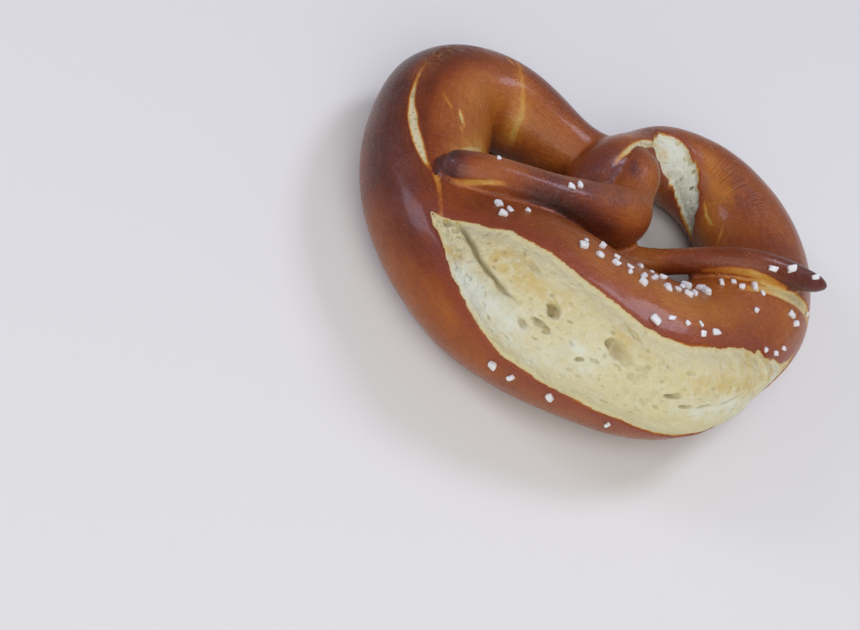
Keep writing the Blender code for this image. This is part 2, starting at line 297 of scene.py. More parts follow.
# Crease in the crumb: s, angle.
FOLD = [(-46, 68.5), (-42, 65.5), (-37, 60), (-32, 55.5), (-27, 51.5)]
FOLD_DEPTH = 1.9
FOLD_REACH = 5  # how far the lowered strip reaches
FOLD_STEP = 0.7  # width of its steep side
FOLD_FADE = 4  # half the way over which it begins and ends
FOLD_LIP = 0.5  # how far its upper edge stands up
FOLD_WANDER = [(0.4, 3.5, 61), (0.2, 1.4, 62)]  # how it strays, as lumps are given
FOLD_CLEFT = 0.95  # half width of the cleft at its foot
FOLD_CLEFT_DEPTH = 1.8

# Large holes in the crumb: s, angle, half length, half width, turn, depth.
HOLES = [
    (-49.2, 63, 1.9, 1.7, 0, 1.5), (-46.3, 62.5, 1.4, 1, 20, 1),
    (-44.4, 61, 1, 0.6, 30, 0.7), (-17, 55, 2.4, 2, -35, 2.6),
    (-18.4, 45.4, 2, 1.3, -20, 1.8), (-16.4, 44, 1.8, 1.1, -20, 1.6),
    (-20.9, 40.5, 1.7, 1.2, -20, 1.4), (0.2, 51.4, 5.4, 2.6, -30, 1.6),
    (-3, 54, 2, 1.8, -30, 1.9), (1.8, 66, 4.6, 1.2, -38, 1.1),
    (-24.5, 71, 3.4, 1.5, -32, 1), (-28.5, 76, 1.4, 0.8, -30, 0.7),
    (-7.5, 38.5, 1, 0.8, 0, 1.2), (-5, 41, 1.1, 0.5, -30, 0.7),
    (14, 37.2, 2.5, 0.9, 10, 1.7), (17.2, 31.5, 1.7, 0.8, -5, 1.4),
    (21, 32, 2.2, 0.6, 5, 0.9), (27, 33.5, 4, 0.5, 12, 0.7), (34.5, 34, 1.6, 0.6, 20, 0.6),
    (5.2, 41, 2.6, 1.5, -30, 0.6), (6.5, 46.5, 2.4, 1.6, -50, 0.6),
    (2, 19, 1.3, 0.7, 0, 0.8), (-31, 43, 1, 0.6, -60, 0.6),
    (-35.5, 45.5, 0.8, 0.5, -60, 0.6), (-27.5, 33, 1.2, 0.6, -60, 0.7),
]
HOLE_WALL = 0.35  # a hole's wall stands between this share of its size and 1
HOLE_SLOPE = 0.75  # how much deeper a hole is at its left end than in its middle
HOLE_STRAY = 0.45  # how far a hole's outline strays
HOLE_STRAY_LENGTH = 1.2

# Small pores, scattered by a seeded rule.
PORES = 1500
PORE_SIZES = (0.2, 0.95)  # half length of the smallest and largest
PORE_POWER = 3.4  # the higher, the fewer large ones
PORE_FLATTEN = (0.4, 0.95)  # width, and depth, as shares of length
PORE_DEPTH = 0.6
PORE_SEED = 4

# The tear's crumb.
TORN_COLUMNS = 70
TORN_PORES = 160
TORN_HOLES = [
    (138, 166, 1.5, 0.9, 60, 1.3), (134, 152, 1.2, 0.8, 60, 1.1),
    (139, 92, 1.5, 0.9, 60, 1.2), (136, 118, 1.3, 0.8, 60, 1.1),
    (133, 124, 0.8, 0.5, 60, 0.7), (142, 108, 0.7, 0.5, 60, 0.6),
    (124.8, 154, 1.6, 0.9, 60, 1.7), (133.2, 117, 1.1, 0.6, 60, 1.1),
    (128.6, 130, 1.3, 0.6, 60, 1.1),
]
TORN_TOAST = [
    (150, 110, 3.5, 4, 1.3), (152, 90, 4, 3, 1.2), (146, 160, 3, 2.5, 1.2),
    (133.5, 185, 4, 1.5, 1), (133, 115, 3, 1.2, 1.2), (128, 129, 3, 1.2, 0.9),
]

# Golden toasted patches on it: s, angle, reach along, reach across, how toasted.
TOAST = [
    (-31, 66, 8, 4.5, 1.5), (-24, 62, 6, 3, 0.8), (-12, 68, 10, 3.5, 0.45),
    (-16, 58, 5, 3, 0.5), (-1, 60, 4, 2.5, 0.9), (5, 57, 5, 2, 0.55), (18, 47, 8, 4, 0.6),
    (27, 44, 7, 4, 0.95), (33, 42, 4, 3, 0.7), (-28, 30, 10, 3, 0.5),
    (-44, 50, 7, 2.2, 1.2), (-12, 30, 10, 3, 0.35), (14, 20, 10, 3, 0.35),
    (41, 38, 5, 3, 0.9), (30, -2, 7, 1.6, 1.3), (35, 58, 7, 3, 1.2), (44, 42, 5, 3, 1.2),
    (51, 27, 4, 3, 1),
]

# Where it is white and not cream, in the same way.
WHITE = [
    (-38, 40, 14, 6, 0.9), (-20, 30, 16, 5, 0.6), (48, 14, 14, 12, 1), (38, 0, 16, 6, 0.7),
    (22, 30, 10, 5, 0.5), (-8, 45, 8, 4, 0.5),
]
TORN_WHITE = [(130, 150, 40, 40, 1)]

# ---- browning, and painted shade
# How brown the crust is, from 0 for pale to 1 for black: an even brown, and patches
# of s, angle, reach along the rope, reach round it, and the change.
EVEN_BROWN = 0.55
# Some patches are painted shade: on the left loop's outer side and on the arms' undersides.
BROWNING_AND_SHADE = [
    # left loop: dark outer side, partly painted shade, and amber top
    (-74, 34, 36, 13, 0.24), (-115, 40, 28, 13, 0.18), (-84, 72, 15, 2.6, 0.12),
    (-105, 78, 9, 5, 0.08), (-90, 108, 18, 12, -0.12), (-98, 128, 12, 8, -0.06),
    (-114, 122, 12, 12, -0.12), (-124, 95, 5, 14, -0.06), (-104, 56, 9, 3, -0.16),
    (-45, -2, 22, 10, -0.1), (-38, 20, 12, 6, -0.08),
    # amber on both sides of its far crease, and where the arm lies on it
    (-129, 76, 2.2, 9, -0.12), (-131, 105, 3, 9, -0.12), (-136, 132, 4, 8, -0.16),
    (-139, 158, 5, 7, -0.18), (-72, 100, 4, 3, -0.18), (-76, 116, 4.5, 4, -0.24),
    (-82, 136, 5, 5, -0.24),
    # far part of the left loop
    (-158, 80, 14, 8, 0.05), (-150, 120, 12, 8, -0.1),
    # belly: amber along its top, redder by the burst
    (10, 106, 34, 7, -0.13), (28, 92, 16, 5, -0.09), (-30, 105, 12, 6, 0.05),
    (-30, 0, 26, 6, 0.03), (-46, 96, 13, 9, 0.13),
    # right loop
    (112, 126, 9, 5, -0.12), (127, 112, 7, 6, -0.12), (104, 165, 12, 7, -0.14),
    (78, 110, 14, 16, 0.07), (58, 56, 9, 8, -0.08),
    # twist
    (176, 66, 9, 8, 0.16), (160, 62, 7, 8, -0.05), (174, 114, 7, 5, 0.1),
    (144, 172, 4, 3, -0.2), (-184, 66, 6, 5, -0.06), (-190, 60, 3.5, 3, -0.05),
    # the low patch at angle 12 darkens the left arm's underside, partly as painted shade
    (-204, 52, 7, 8, -0.1), (-214, 12, 14, 5, 0.22),
    # left arm: orange before its black end, its underside darkened, partly as painted shade
    (-246, 75, 9, 8, -0.1), (-232, 78, 11, 7, 0.16), (-230, 30, 14, 4, 0.28),
    (-263.5, 90, 5, 30, 0.34), (-263.5, 270, 5, 30, 0.34),
    # right arm: reddish brown, near black at its tip, its underside darkened, partly as painted
    # shade
    (214, 70, 5, 7, -0.1), (227, 6, 9, 4, 0.14), (240, 60, 12, 8, 0.12),
    (262, 90, 12, 20, 0.18), (262, 270, 12, 20, 0.18),
]

# Where the brown turns purple, in the same way: partly the crust's own purple-brown, partly
# painted reflection of cool light where highlights fall.
PLUM_AND_SHEEN_PATCHES = [
    (-68, 48, 12, 6, 0.6), (-52, 44, 10, 5, 0.5), (-262, 90, 6, 20, 0.8),
    (176, 112, 9, 7, 1.5), (-186, 108, 6, 3, 0.9), (222, 70, 8, 3, 0.5),
    (-213, 90, 14, 5, 0.7), (-232, 84, 14, 3, 0.5), (107, 112, 14, 7, 0.6),
    (264, 70, 8, 14, 0.6),
]

# Rough scars where the skin was torn and baked brown.
SCARS = [(-109, 59, 8, 3, 1), (147, 60, 6, 3, 1)]
SCAR_RELIEF = 0.35
SCAR_SIZE = 1.7  # of its lumps

# Pale streaks where the skin split: s, angle, half width, and how pale at most, from
# -1 for brown over 0 for amber to 1 for cream.
STREAKS = [
    # the crack down the left loop, and on to the burst's left end
    [(-107, 57, 0.1, -0.6), (-99, 57, 0.4, 0.1), (-92, 58, 0.75, 0.8), (-88, 59.5, 0.9, 1),
     (-84, 62, 1.5, 1), (-80, 64, 1.3, 1), (-75, 67.5, 1.45, 1), (-71, 69.5, 1.1, 1),
     (-68, 71, 0.7, 0.6), (-66, 72.5, 0.4, -0.1)],
    [(-65, 74, 0.3, -0.2), (-62.5, 76, 0.8, 0.2), (-60, 75, 0.6, 0), (-57, 72, 0.4, -0.2),
     (-54, 68, 0.4, -0.2), (-51, 61, 0.5, 0.2)],
    # short splits on the left loop's top
    [(-97, 81, 0.1, -0.8), (-94, 86, 0.3, -0.3), (-90.5, 94, 0.35, 0), (-89.5, 96, 0.1, -0.5)],
    [(-91, 102, 0.3, 0), (-89.5, 104, 0.7, 0.4), (-87, 107, 0.55, 0.6), (-85, 110, 0.2, 0.2)],
    [(-84.5, 105, 0.2, -0.4), (-83, 107, 0.35, 0), (-81, 109, 0.1, -0.5)],
    # where the left arm lies on the loop, above and below it
    [(-71, 96, 0.3, -0.4), (-73.5, 106, 0.7, 0), (-76, 117, 0.9, 0.1), (-80, 131, 0.7, 0)],
    [(-263, 4, 0.5, -0.1), (-257, 14, 0.8, 0), (-253.5, 24, 0.8, 0.1), (-250, 35, 0.6, 0.2),
     (-246, 42, 0.4, -0.3)],
    # the crease across the loop's far end
    [(-127.5, 58, 0.2, -0.4), (-128.8, 70, 0.5, -0.2), (-129.2, 82, 0.3, -0.4),
     (-131, 98, 0.8, -0.3), (-134, 116, 1.1, -0.2), (-138, 134, 1.1, -0.25),
     (-139, 152, 1.3, -0.25), (-141, 172, 1.2, -0.3)],
    [(-125.5, 62, 0.2, 0), (-126.3, 68, 0.4, 0.3), (-127, 74, 0.2, -0.2)],
    # a forked split on the right loop
    [(116, 143, 0.2, -0.6), (112.5, 153, 0.35, -0.2), (106.5, 160, 0.5, 0.15),
     (101, 160, 0.45, 0.1), (98, 157, 0.2, -0.4)],
    [(95.5, 148, 0.2, -0.4), (91, 155, 0.4, -0.1), (86, 162, 0.2, -0.4)],
    # the wedge at the top of the lobe
    [(172, 100, 0.2, -0.2), (167, 96, 0.7, 0.4), (162, 91, 1.3, 0.8), (157, 88, 1.7, 1),
     (153.5, 90, 1.2, 1)],
    # the pale band below the right arm's tip
    [(50, 108, 0.9, -0.2), (56, 98, 1.4, 0.2), (61, 83, 1.9, 0.45), (65, 66, 2.1, 0.6),
     (67.5, 48, 1.9, 0.5), (68, 32, 1.4, 0.3), (65, 20, 0.8, -0.1)],
    [(230, 2, 0.6, -0.3), (237, 12, 1.2, 0), (244, 11, 1.4, 0.25), (250, -2, 1.3, 0.2),
     (256, -22, 0.7, 0)],
    # bare dough under the burst's right end
    [(40, -2, 0.4, 0), (45, 9, 1.5, 0.8), (49, 15, 1.8, 1), (53, 20, 1.6, 0.9),
     (57, 25, 0.5, 0)],
]
SPLIT_SHARPNESS = 2  # how fast a streak pales towards its middle, per mm

# Where the seams between strands show pale: s, angle, reach along, reach round, the
# width of the pale band and how pale it is.
SEAMS = [
    (-57, 100, 7, 6, 0.1, 0), (52, 95, 12, 16, 0.6, 0.15), (61, 80, 7, 12, 1, 0.35),
    (240, 0, 16, 8, 0.4, 0), (-190, 62, 5, 6, 0.6, 0),
]
SEAM_WIDTH = 0.2  # of any other seam
SEAM_PALENESS = -1.6  # and how pale it gets
SEAM_SOFTNESS = 1.2  # how fast a seam pales towards its middle, per mm
CREASE_SHADE_WIDTH = 0.35  # over which a seam that isn't pale is darkened, as painted shade

# Transverse wrinkles on the right loop.
WRINKLES = [(112, 114, 15, 10, 1)]

SPLIT_DEPTH = 0.45  # depth of a pale streak
CRUMB_SUNK = 3  # depth of the crumb pieces' lower edges
FAR = 20.0  # a distance past which nothing changes

# A salt grain's finer form.
GRAIN_WEAR = 0.3  # how far its edges are worn off, as a share of its size
GRAIN_ROUGHNESS = 0.09
GRAIN_ROUGHNESS_SIZE = 0.6


def hashed(cell, seed):
    """A repeatable random number in -1..1 for each cell of a lattice."""
    key = cell.astype(np.int64)
    mixed = key[..., 0] * 73856093 ^ key[..., 1] * 19349663 ^ key[..., 2] * 83492791
    mixed = (mixed ^ (seed * 2654435761)) & 0xFFFFFFFF
    mixed = ((mixed ^ (mixed >> 13)) * 0x5BD1E995) & 0xFFFFFFFF
    mixed = ((mixed ^ (mixed >> 15)) * 0x27D4EB2D) & 0xFFFFFFFF
    return (mixed ^ (mixed >> 16)) / 0x7FFFFFFF - 1


def noise(places, size, seed):
    """Smooth noise in -1..1 whose features are about size across."""
    cell = np.floor(places / size)
    t = places / size - cell
    t = t * t * (3 - 2 * t)
    total = 0
    for corner in itertools.product((0, 1), repeat=3):
        share = np.prod(np.where(np.array(corner) == 1, t, 1 - t), axis=-1)
        total = total + share * hashed(cell + np.array(corner), seed)
    return total


def noise_along(s, size, seed):
    """The same, of one number: the way along the rope."""
    return noise(unrolled(s, s * 0), size, seed)


def lumps(places, rows):
    """Lumpy relief: noises of the heights, sizes and seeds in rows."""
    return sum(height * noise(places, size, seed) for height, size, seed in rows)


def unrolled(s, across):
    """The rope's skin laid flat."""
    return np.stack((s, across, s * 0), axis=-1)


def round_the_rope(degrees, middle, half):
    """Distance round the rope from an angle, in mm, the shorter way."""
    turn = (degrees - middle + 180) % 360 - 180
    return np.radians(turn) * half


def patch(s, degrees, half, row):
    """A soft patch: 1 at its middle, falling to 0 past its reach."""
    ahead = (s - row[0]) / row[2]
    round_it = round_the_rope(degrees, row[1], half) / row[3]
    return np.exp(-(ahead ** 2 + round_it ** 2))


def patches(rows, s, degrees, half):
    """The sum of soft patches."""
    return sum(row[4] * patch(s, degrees, half, row) for row in rows)


def plain_edges(rows, s):
    rows = np.array(rows)
    return np.interp(s, rows[:, 0], rows[:, 1]), np.interp(s, rows[:, 0], rows[:, 2])


def inside(lower, upper, degrees, half):
    """How far inside the lower and upper edge a place is."""
    return np.minimum(degrees - lower, upper - degrees) * math.pi / 180 * half


class Opening:
    """A place where the crust is open; its edges stray a little from its rows."""

    def __init__(self, rows, stray, length, seed, ragged=None):
        self.rows, self.seed = rows, seed
        self.stray, self.length, self.ragged = stray, length, ragged
        self.low, self.high = rows[0][0], rows[-1][0]

    def edges(self, s, half):
        s = np.asarray(s, float)
        lower, upper = plain_edges(self.rows, s)
        fade = smoothstep(0, EDGE_FADE, s - self.low) * smoothstep(0, EDGE_FADE, self.high - s)
        below, above = (self.stray * (noise_along(s, self.length, seed)
                                      + 0.5 * noise_along(s, self.length / 2.6, seed + 10))
                        for seed in (self.seed, self.seed + 1))
        if self.ragged:
            start, end = self.ragged
            torn = smoothstep(start - 2, start + 2, s) * smoothstep(end + 2, end - 2, s)
            above = above + torn * RAGGED_STRAY * noise_along(s, RAGGED_LENGTH, self.seed + 5)
        degrees = fade * np.degrees(1 / np.maximum(half, 1))
        return lower - below * degrees, upper + above * degrees

    def depth(self, s, degrees, half):
        """How far inside the opening a place is, below 0 outside it."""
        lower, upper = self.edges(s, half)
        across = inside(lower, upper, degrees, half)
        past = np.maximum(self.low - s, s - self.high)
        return np.where(past > 0, -np.hypot(past, np.minimum(across, 0)), across)


BURST_OPENING = Opening(BURST, EDGE_STRAY, EDGE_STRAY_LENGTH, 20, RAGGED_EDGE)
TEAR_OPENING = Opening(TEAR, TEAR_STRAY, TEAR_STRAY_LENGTH, 40)


# ---- meshes
def new_object(name, points, faces):
    """A mesh object from points in mm."""
    data = bpy.data.meshes.new(name)
    data.from_pydata((np.asarray(points) * MM).tolist(), [], faces)
    data.update()
    thing = bpy.data.objects.new(name, data)
    scene.collection.objects.link(thing)
    return thing


def write_values(data, name, values, kind="FLOAT", field="value"):
    layer = data.attributes.new(name, kind, "POINT")
    layer.data.foreach_set(field, np.asarray(values, np.float32).ravel())


def tube_faces(rings, sides):
    """Faces between rings of points, with a point before the first and after the last."""
    faces = []
    for i in range(rings - 1):
        for k in range(sides):
            n = (k + 1) % sides
            faces.append((i * sides + k, (i + 1) * sides + k, (i + 1) * sides + n, i * sides + n))
    first, last = rings * sides, rings * sides + 1
    for k in range(sides):
        n = (k + 1) % sides
        faces.append((first, k, n))
        faces.append((last, (rings - 1) * sides + n, (rings - 1) * sides + k))
    return faces


def crust_blank(rope):
    """The rope as an even mesh, its strands run together where they touch."""
    sides = CRUST_SIDES
    stations = rope.s[1:-1]
    angles = np.arange(sides) * 360 / sides
    rings = rope.skin(np.repeat(stations, sides), np.tile(angles, len(stations)))
    points = np.vstack((rings, rope.centre[:1], rope.centre[-1:]))
    thing = new_object("crust", points, tube_faces(len(stations), sides))
    remesh = thing.modifiers.new("even", "REMESH")
    remesh.mode = "VOXEL"
    remesh.voxel_size = CRUST_GRID * MM
    smooth = thing.modifiers.new("smooth", "SMOOTH")
    smooth.factor = 0.5
    smooth.iterations = CRUST_SMOOTHING
    depsgraph = bpy.context.evaluated_depsgraph_get()
    data = bpy.data.meshes.new_from_object(thing.evaluated_get(depsgraph))
    thing.modifiers.clear()
    thing.data = data
    return thing


def crust_lift(s, degrees, half, gap, places):
    """How far the crust stands off the plain rope."""
    lift = lumps(places, CRUST_LUMPS) * smoothstep(0, STRANDS_CLEAR, gap)
    for opening in (BURST_OPENING, TEAR_OPENING):
        depth = opening.depth(s, degrees, half)
        lip = RIM_LIP * np.exp(-((depth + RIM_LIP_BACK) / RIM_LIP_WIDTH) ** 2)
        recess = RECESS_DEPTH * smoothstep(0, RECESS_WIDTH, depth) * smoothstep(0.2, 1.2, gap)
        lift = lift + lip - recess
    return lift


def segment_field(s, degrees, half, a, b):
    """How deep a place is in a straight stretch of a streak, from row a to row b."""
    length = b[0] - a[0]
    turn = math.radians(b[1] - a[1]) * half
    x = s - a[0]
    y = round_the_rope(degrees, a[1], half)
    t = np.clip((x * length + y * turn) / (length ** 2 + turn ** 2), 0, 1)
    distance = np.hypot(x - t * length, y - t * turn)
    width = a[2] + (b[2] - a[2]) * t
    most = a[3] + (b[3] - a[3]) * t
    return np.minimum((width - distance) * SPLIT_SHARPNESS, most)


def streak_field(s, degrees, half):
    """How deep in a pale streak a place is, below 0 outside all of them."""
    field = np.full(len(s), -FAR)
    for rows in STREAKS:
        for a, b in zip(rows, rows[1:]):
            field = np.maximum(field, segment_field(s, degrees, half, a, b))
    return field


def seam_field(s, degrees, half, gap):
    """As streak_field, for the seams where two strands touch."""
    width = np.full(len(s), SEAM_WIDTH)
    most = np.full(len(s), SEAM_PALENESS)
    for row in SEAMS:
        share = patch(s, degrees, half, row)
        width = width + row[4] * share
        paler = (row[5] - SEAM_PALENESS) * np.minimum(share * 1.5, 1)
        most = np.maximum(most, SEAM_PALENESS + paler)
    return np.minimum((width - gap) * SEAM_SOFTNESS, most)


def dress_crust(thing, rope):
    """Give the crust its relief, and the values that its material reads."""
    data = thing.data
    points = np.zeros(len(data.vertices) * 3)
    data.vertices.foreach_get("co", points)
    points = points.reshape(-1, 3) / MM
    s, degrees, gap = rope.nearest(points)
    centre, half, sagged, up, out = rope.at(s)
    where = (s, degrees, half)
    streaks = streak_field(*where)
    single = smoothstep(SINGLE_FROM, SINGLE_FULL, gap)[:, None]
    points = points * (1 - single) + rope.skin(s, degrees) * single
    angle = np.radians(degrees)[:, None]
    outward = np.cos(angle) * out + np.sin(angle) * up
    pale = np.maximum(streaks, seam_field(*where, gap))
    scar = patches(SCARS, *where)
    lift = crust_lift(*where, gap, points)
    lift = lift + SCAR_RELIEF * scar * noise(points, SCAR_SIZE, 91)
    lift = lift - SPLIT_DEPTH * smoothstep(-0.3, 0.8, streaks)
    points = points + outward * lift[:, None]
    points[:, 2] = np.maximum(points[:, 2], 0)
    data.vertices.foreach_set("co", (points * MM).ravel().astype(np.float32))
    data.update()
    rim = -np.maximum(BURST_OPENING.depth(*where), TEAR_OPENING.depth(*where))
    angle = angle[:, 0]
    skin = np.stack((s, half * np.cos(angle), half * np.sin(angle)), axis=1)
    write_values(data, "rope", skin, "FLOAT_VECTOR", "vector")
    # painted shade in the seams where strands meet and the seam isn't pale
    crease = smoothstep(CREASE_SHADE_WIDTH, 0.1, gap) * smoothstep(0, -1.2, pale)
    # the brown value carries the browning and, in some patches, painted shade
    for title, values in (("brown", EVEN_BROWN + patches(BROWNING_AND_SHADE, *where)),
                          ("plum_and_sheen", patches(PLUM_AND_SHEEN_PATCHES, *where)), ("pale", pale),
                          ("rim", rim), ("gap", np.minimum(gap, FAR)), ("crease", crease),
                          ("wrinkle", patches(WRINKLES, *where)), ("scar", scar)):
        write_values(data, title, values)
    data.shade_smooth()


# ---- crumb
def fold_place(s, degrees, half):
    """How fully the crease shows at a place, and how far above its line that lies."""
    line = np.array(FOLD)
    begins = smoothstep(line[0, 0] - FOLD_FADE, line[0, 0] + FOLD_FADE, s)
    ends = smoothstep(line[-1, 0] - FOLD_FADE, line[-1, 0] + FOLD_FADE, s)
    across = np.radians(degrees - np.interp(s, line[:, 0], line[:, 1])) * half
    return begins * (1 - ends), across + lumps(unrolled(s, s * 0), FOLD_WANDER)


def fold_lift(s, degrees, half):
    """The crease is a steep step, the crumb on its outer side lower."""
    shown, across = fold_place(s, degrees, half)
    lowered = np.exp(-(np.maximum(-across, 0) / FOLD_REACH) ** 2)
    lowered = lowered * smoothstep(FOLD_STEP / 2, -FOLD_STEP / 2, across)
    lip = np.exp(-((across - 0.9) / 1.1) ** 2)
    return shown * (FOLD_LIP * lip - FOLD_DEPTH * lowered)


def fold_hollow(s, degrees, half):
    """The cleft at the foot of the crease's step."""
    shown, across = fold_place(s, degrees, half)
    wide = FOLD_CLEFT * (0.7 + 0.5 * noise_along(s, 2.6, 63))
    return FOLD_CLEFT_DEPTH * shown ** 0.5 * np.exp(-((across + 0.35) / wide) ** 2)


def bowl(along, across, length, width, turn):
    """1 on the floor of an oval hole, 0 from its edge on."""
    c, q = math.cos(math.radians(turn)), math.sin(math.radians(turn))
    u = (along * c + across * q) / length
    v = (across * c - along * q) / width
    return 1 - smoothstep(HOLE_WALL, 1, np.hypot(u, v))


def pore_rows(opening, count, seed):
    """Seeded small pores: s, share of the way across, half length, half width, turn, depth."""
    draw = random.Random(seed)
    rows = []
    smallest, largest = PORE_SIZES
    for k in range(count):
        s = draw.uniform(opening.low, opening.high)
        across = draw.random()
        length = smallest + (largest - smallest) * draw.random() ** PORE_POWER
        width = length * draw.uniform(*PORE_FLATTEN)
        rows.append((s, across, length, width, draw.uniform(-50, 30),
                     length * PORE_DEPTH * draw.uniform(0.6, 1.4)))
    return rows


def hollows(opening, s, degrees, half, holes, pores):
    """Depth of the holes and pores over a grid of places."""
    depth = np.zeros(s.shape)
    for s0, angle, length, width, turn, deep in holes:
        across = np.radians(degrees - angle) * half
        stray = HOLE_STRAY * min(width, 1) * noise(unrolled(s, across), HOLE_STRAY_LENGTH, 71)
        slope = 1 - HOLE_SLOPE * np.clip((s - s0) / length, -1, 1)
        here = deep * slope * bowl(s - s0 + stray, across + stray, length, width, turn)
        depth = np.maximum(depth, here)
    row_s = s[:, 0]
    lower, upper = opening.edges(row_s, half[:, 0])
    for s0, share, length, width, turn, deep in pores:
        a, b = np.searchsorted(row_s, (s0 - length, s0 + length))
        if b - a < 2:
            continue
        middle = (a + b) // 2
        angle = lower[middle] + share * (upper[middle] - lower[middle])
        across = np.radians(degrees[a:b] - angle) * half[a:b]
        here = deep * bowl(s[a:b] - s0, across, length, width, turn)
        depth[a:b] = depth[a:b] + here * (1 - np.minimum(depth[a:b], 1))
    return depth


def burst_crumb_lift(s, degrees, half, depth):
    """The burst's crumb swells and is lumpy and creased."""
    swell = CRUMB_RISE * smoothstep(0, CRUMB_RISE_OVER, depth)
    groove = RIM_GROOVE * np.exp(-((depth - RIM_GROOVE_WIDTH) / RIM_GROOVE_WIDTH) ** 2)
    rough = lumps(unrolled(s, np.radians(degrees) * half), BURST_LUMPS)
    return swell - groove + rough * smoothstep(0, 1.5, depth) + fold_lift(s, degrees, half)


def torn_crumb_lift(s, degrees, half, depth):
    """The tear's crumb lies in a shallow hollow."""
    rough = lumps(unrolled(s, np.radians(degrees) * half), TORN_LUMPS)
    sunk = TORN_SUNK + TEAR_DEPTH * smoothstep(0, TEAR_RIM, depth)
    return rough * smoothstep(0, 1, depth) - sunk


def crumb_piece(name, rope, opening, lift_at, holes, pores, toast, white, columns):
    """The crumb in an opening: a fine skin, closed beneath."""
    row_s = np.arange(opening.low - 1, opening.high + 1, CRUMB_STEP)
    half = rope.at(row_s)[1]
    lower, upper = opening.edges(row_s, half)
    margin = np.degrees(CRUMB_MARGIN / half)
    share = np.linspace(0, 1, columns)[None, :]
    degrees = (lower - margin)[:, None] + share * (upper - lower + 2 * margin)[:, None]
    s = np.repeat(row_s[:, None], columns, axis=1)
    half = np.repeat(half[:, None], columns, axis=1)
    where = (s, degrees, half)
    depth = opening.depth(*where)
    hollow = hollows(opening, *where, holes, pores)
    if opening is BURST_OPENING:
        hollow = np.maximum(hollow, fold_hollow(*where))
    hollow = hollow * smoothstep(0.2, 1.2, depth)
    lift = lift_at(*where, depth) - hollow + 0.5 * np.minimum(depth, 0)
    under = np.stack([rope.skin(s[:, k], degrees[:, k], -CRUMB_SUNK) for k in (-1, 0)], axis=1)
    rings = np.concatenate((rope.skin(s, degrees, lift), under), axis=1)
    points = np.vstack((rings.reshape(-1, 3), rings[0].mean(axis=0), rings[-1].mean(axis=0)))
    thing = new_object(name, points, tube_faces(len(row_s), columns + 2))
    data = thing.data
    for title, values in (("white", patches(white, *where)), ("hollow", hollow),
                          ("toast", patches(toast, *where)), ("edge", depth)):
        write_values(data, title, np.append(np.pad(values, ((0, 0), (0, 2))), (0, 0)))
    data.shade_smooth()
    return thing


# ---- salt
def salt_places(rope):
    """Middle, outward direction and size of each grain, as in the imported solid."""
    draw = random.Random(SALT_SEED)
    grains = []
    for groups, most, s_low, s_high, low, high in SALT_STRETCHES:
        for k in range(groups):
            first, wanted = None, draw.randint(1, most)
            for attempt in range(SALT_ATTEMPTS):
                if first is None:
                    s = s_low + (s_high - s_low) * (k + draw.random()) / groups
                    degrees = draw.uniform(low, high)
                else:
                    s = first[0] + SALT_SPREAD * draw.uniform(-1, 1)
                    round_it = SALT_SPREAD * draw.uniform(-1, 1)
                    degrees = first[1] + math.degrees(round_it / rope.half[i])
                size = SALT_SIZE * draw.uniform(*SALT_SIZES)
                i = int(np.argmin(np.abs(rope.s - s)))
                middle = Vector(rope.skin(rope.s[i:i + 1], degrees)[0])
                if wanted and salt_fits(rope, i, degrees, middle, grains):
                    outward = (middle - Vector(rope.centre[i])).normalized()
                    lift = SALT_SHARES[2][0] * (1 - 2 * SALT_SINK)
                    grains.append((middle + outward * size * lift, outward, size))
                    first = first or (s, degrees)
                    wanted -= 1
    return grains


def salt_fits(rope, i, degrees, middle, grains):
    """A grain lies on crust, clear of other strands and of other grains."""
    if inside(*plain_edges(BURST, rope.s[i]), degrees, rope.half[i]) > -SALT_RIM:
        return False
    away = np.linalg.norm(rope.centre - np.array(middle), axis=1) - rope.half
    other = np.abs(rope.s - rope.s[i]) > SALT_OTHER_STRETCH
    if np.min(away[other]) < SALT_SIZE * 2:
        return False
    return all((middle - grain[0]).length > SALT_CLEAR for grain in grains)


def salt_grain(middle, outward, size, draw):
    """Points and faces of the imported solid's grain, with worn edges."""
    mesh = bmesh.new()
    bmesh.ops.create_cube(mesh, size=2.0)
    shares = Vector([draw.uniform(*limits) for limits in SALT_SHARES])
    for corner in mesh.verts:
        corner.co = corner.co * shares * draw.uniform(*SALT_CORNER)
    bmesh.ops.triangulate(mesh, faces=mesh.faces)
    spin = Euler((0, 0, draw.uniform(0, math.tau))).to_matrix()
    turn = outward.to_track_quat("Z", "X").to_matrix() @ spin
    bmesh.ops.bevel(mesh, geom=mesh.edges, offset=GRAIN_WEAR, segments=2, profile=0.5,
                    affect="EDGES", clamp_overlap=True)
    bmesh.ops.triangulate(mesh, faces=mesh.faces)
    bmesh.ops.subdivide_edges(mesh, edges=mesh.edges, cuts=1, use_grid_fill=True)
    mesh.verts.index_update()
    points = [turn @ corner.co * size + middle for corner in mesh.verts]
    faces = [[corner.index for corner in face.verts] for face in mesh.faces]
    mesh.free()
    return points, faces


def salt_piece(rope):
    draw = random.Random(SALT_SEED)
    points, faces = [], []
    for place in salt_places(rope):
        corners, sides = salt_grain(*place, draw)
        faces.extend([len(points) + k for k in side] for side in sides)
        points.extend(corners)
    points = np.array(points)
    rough = np.stack([noise(points, GRAIN_ROUGHNESS_SIZE, 80 + k) for k in range(3)], axis=1)
    thing = new_object("salt", points + GRAIN_ROUGHNESS * rough, faces)
    thing.data.shade_smooth()
    return thing


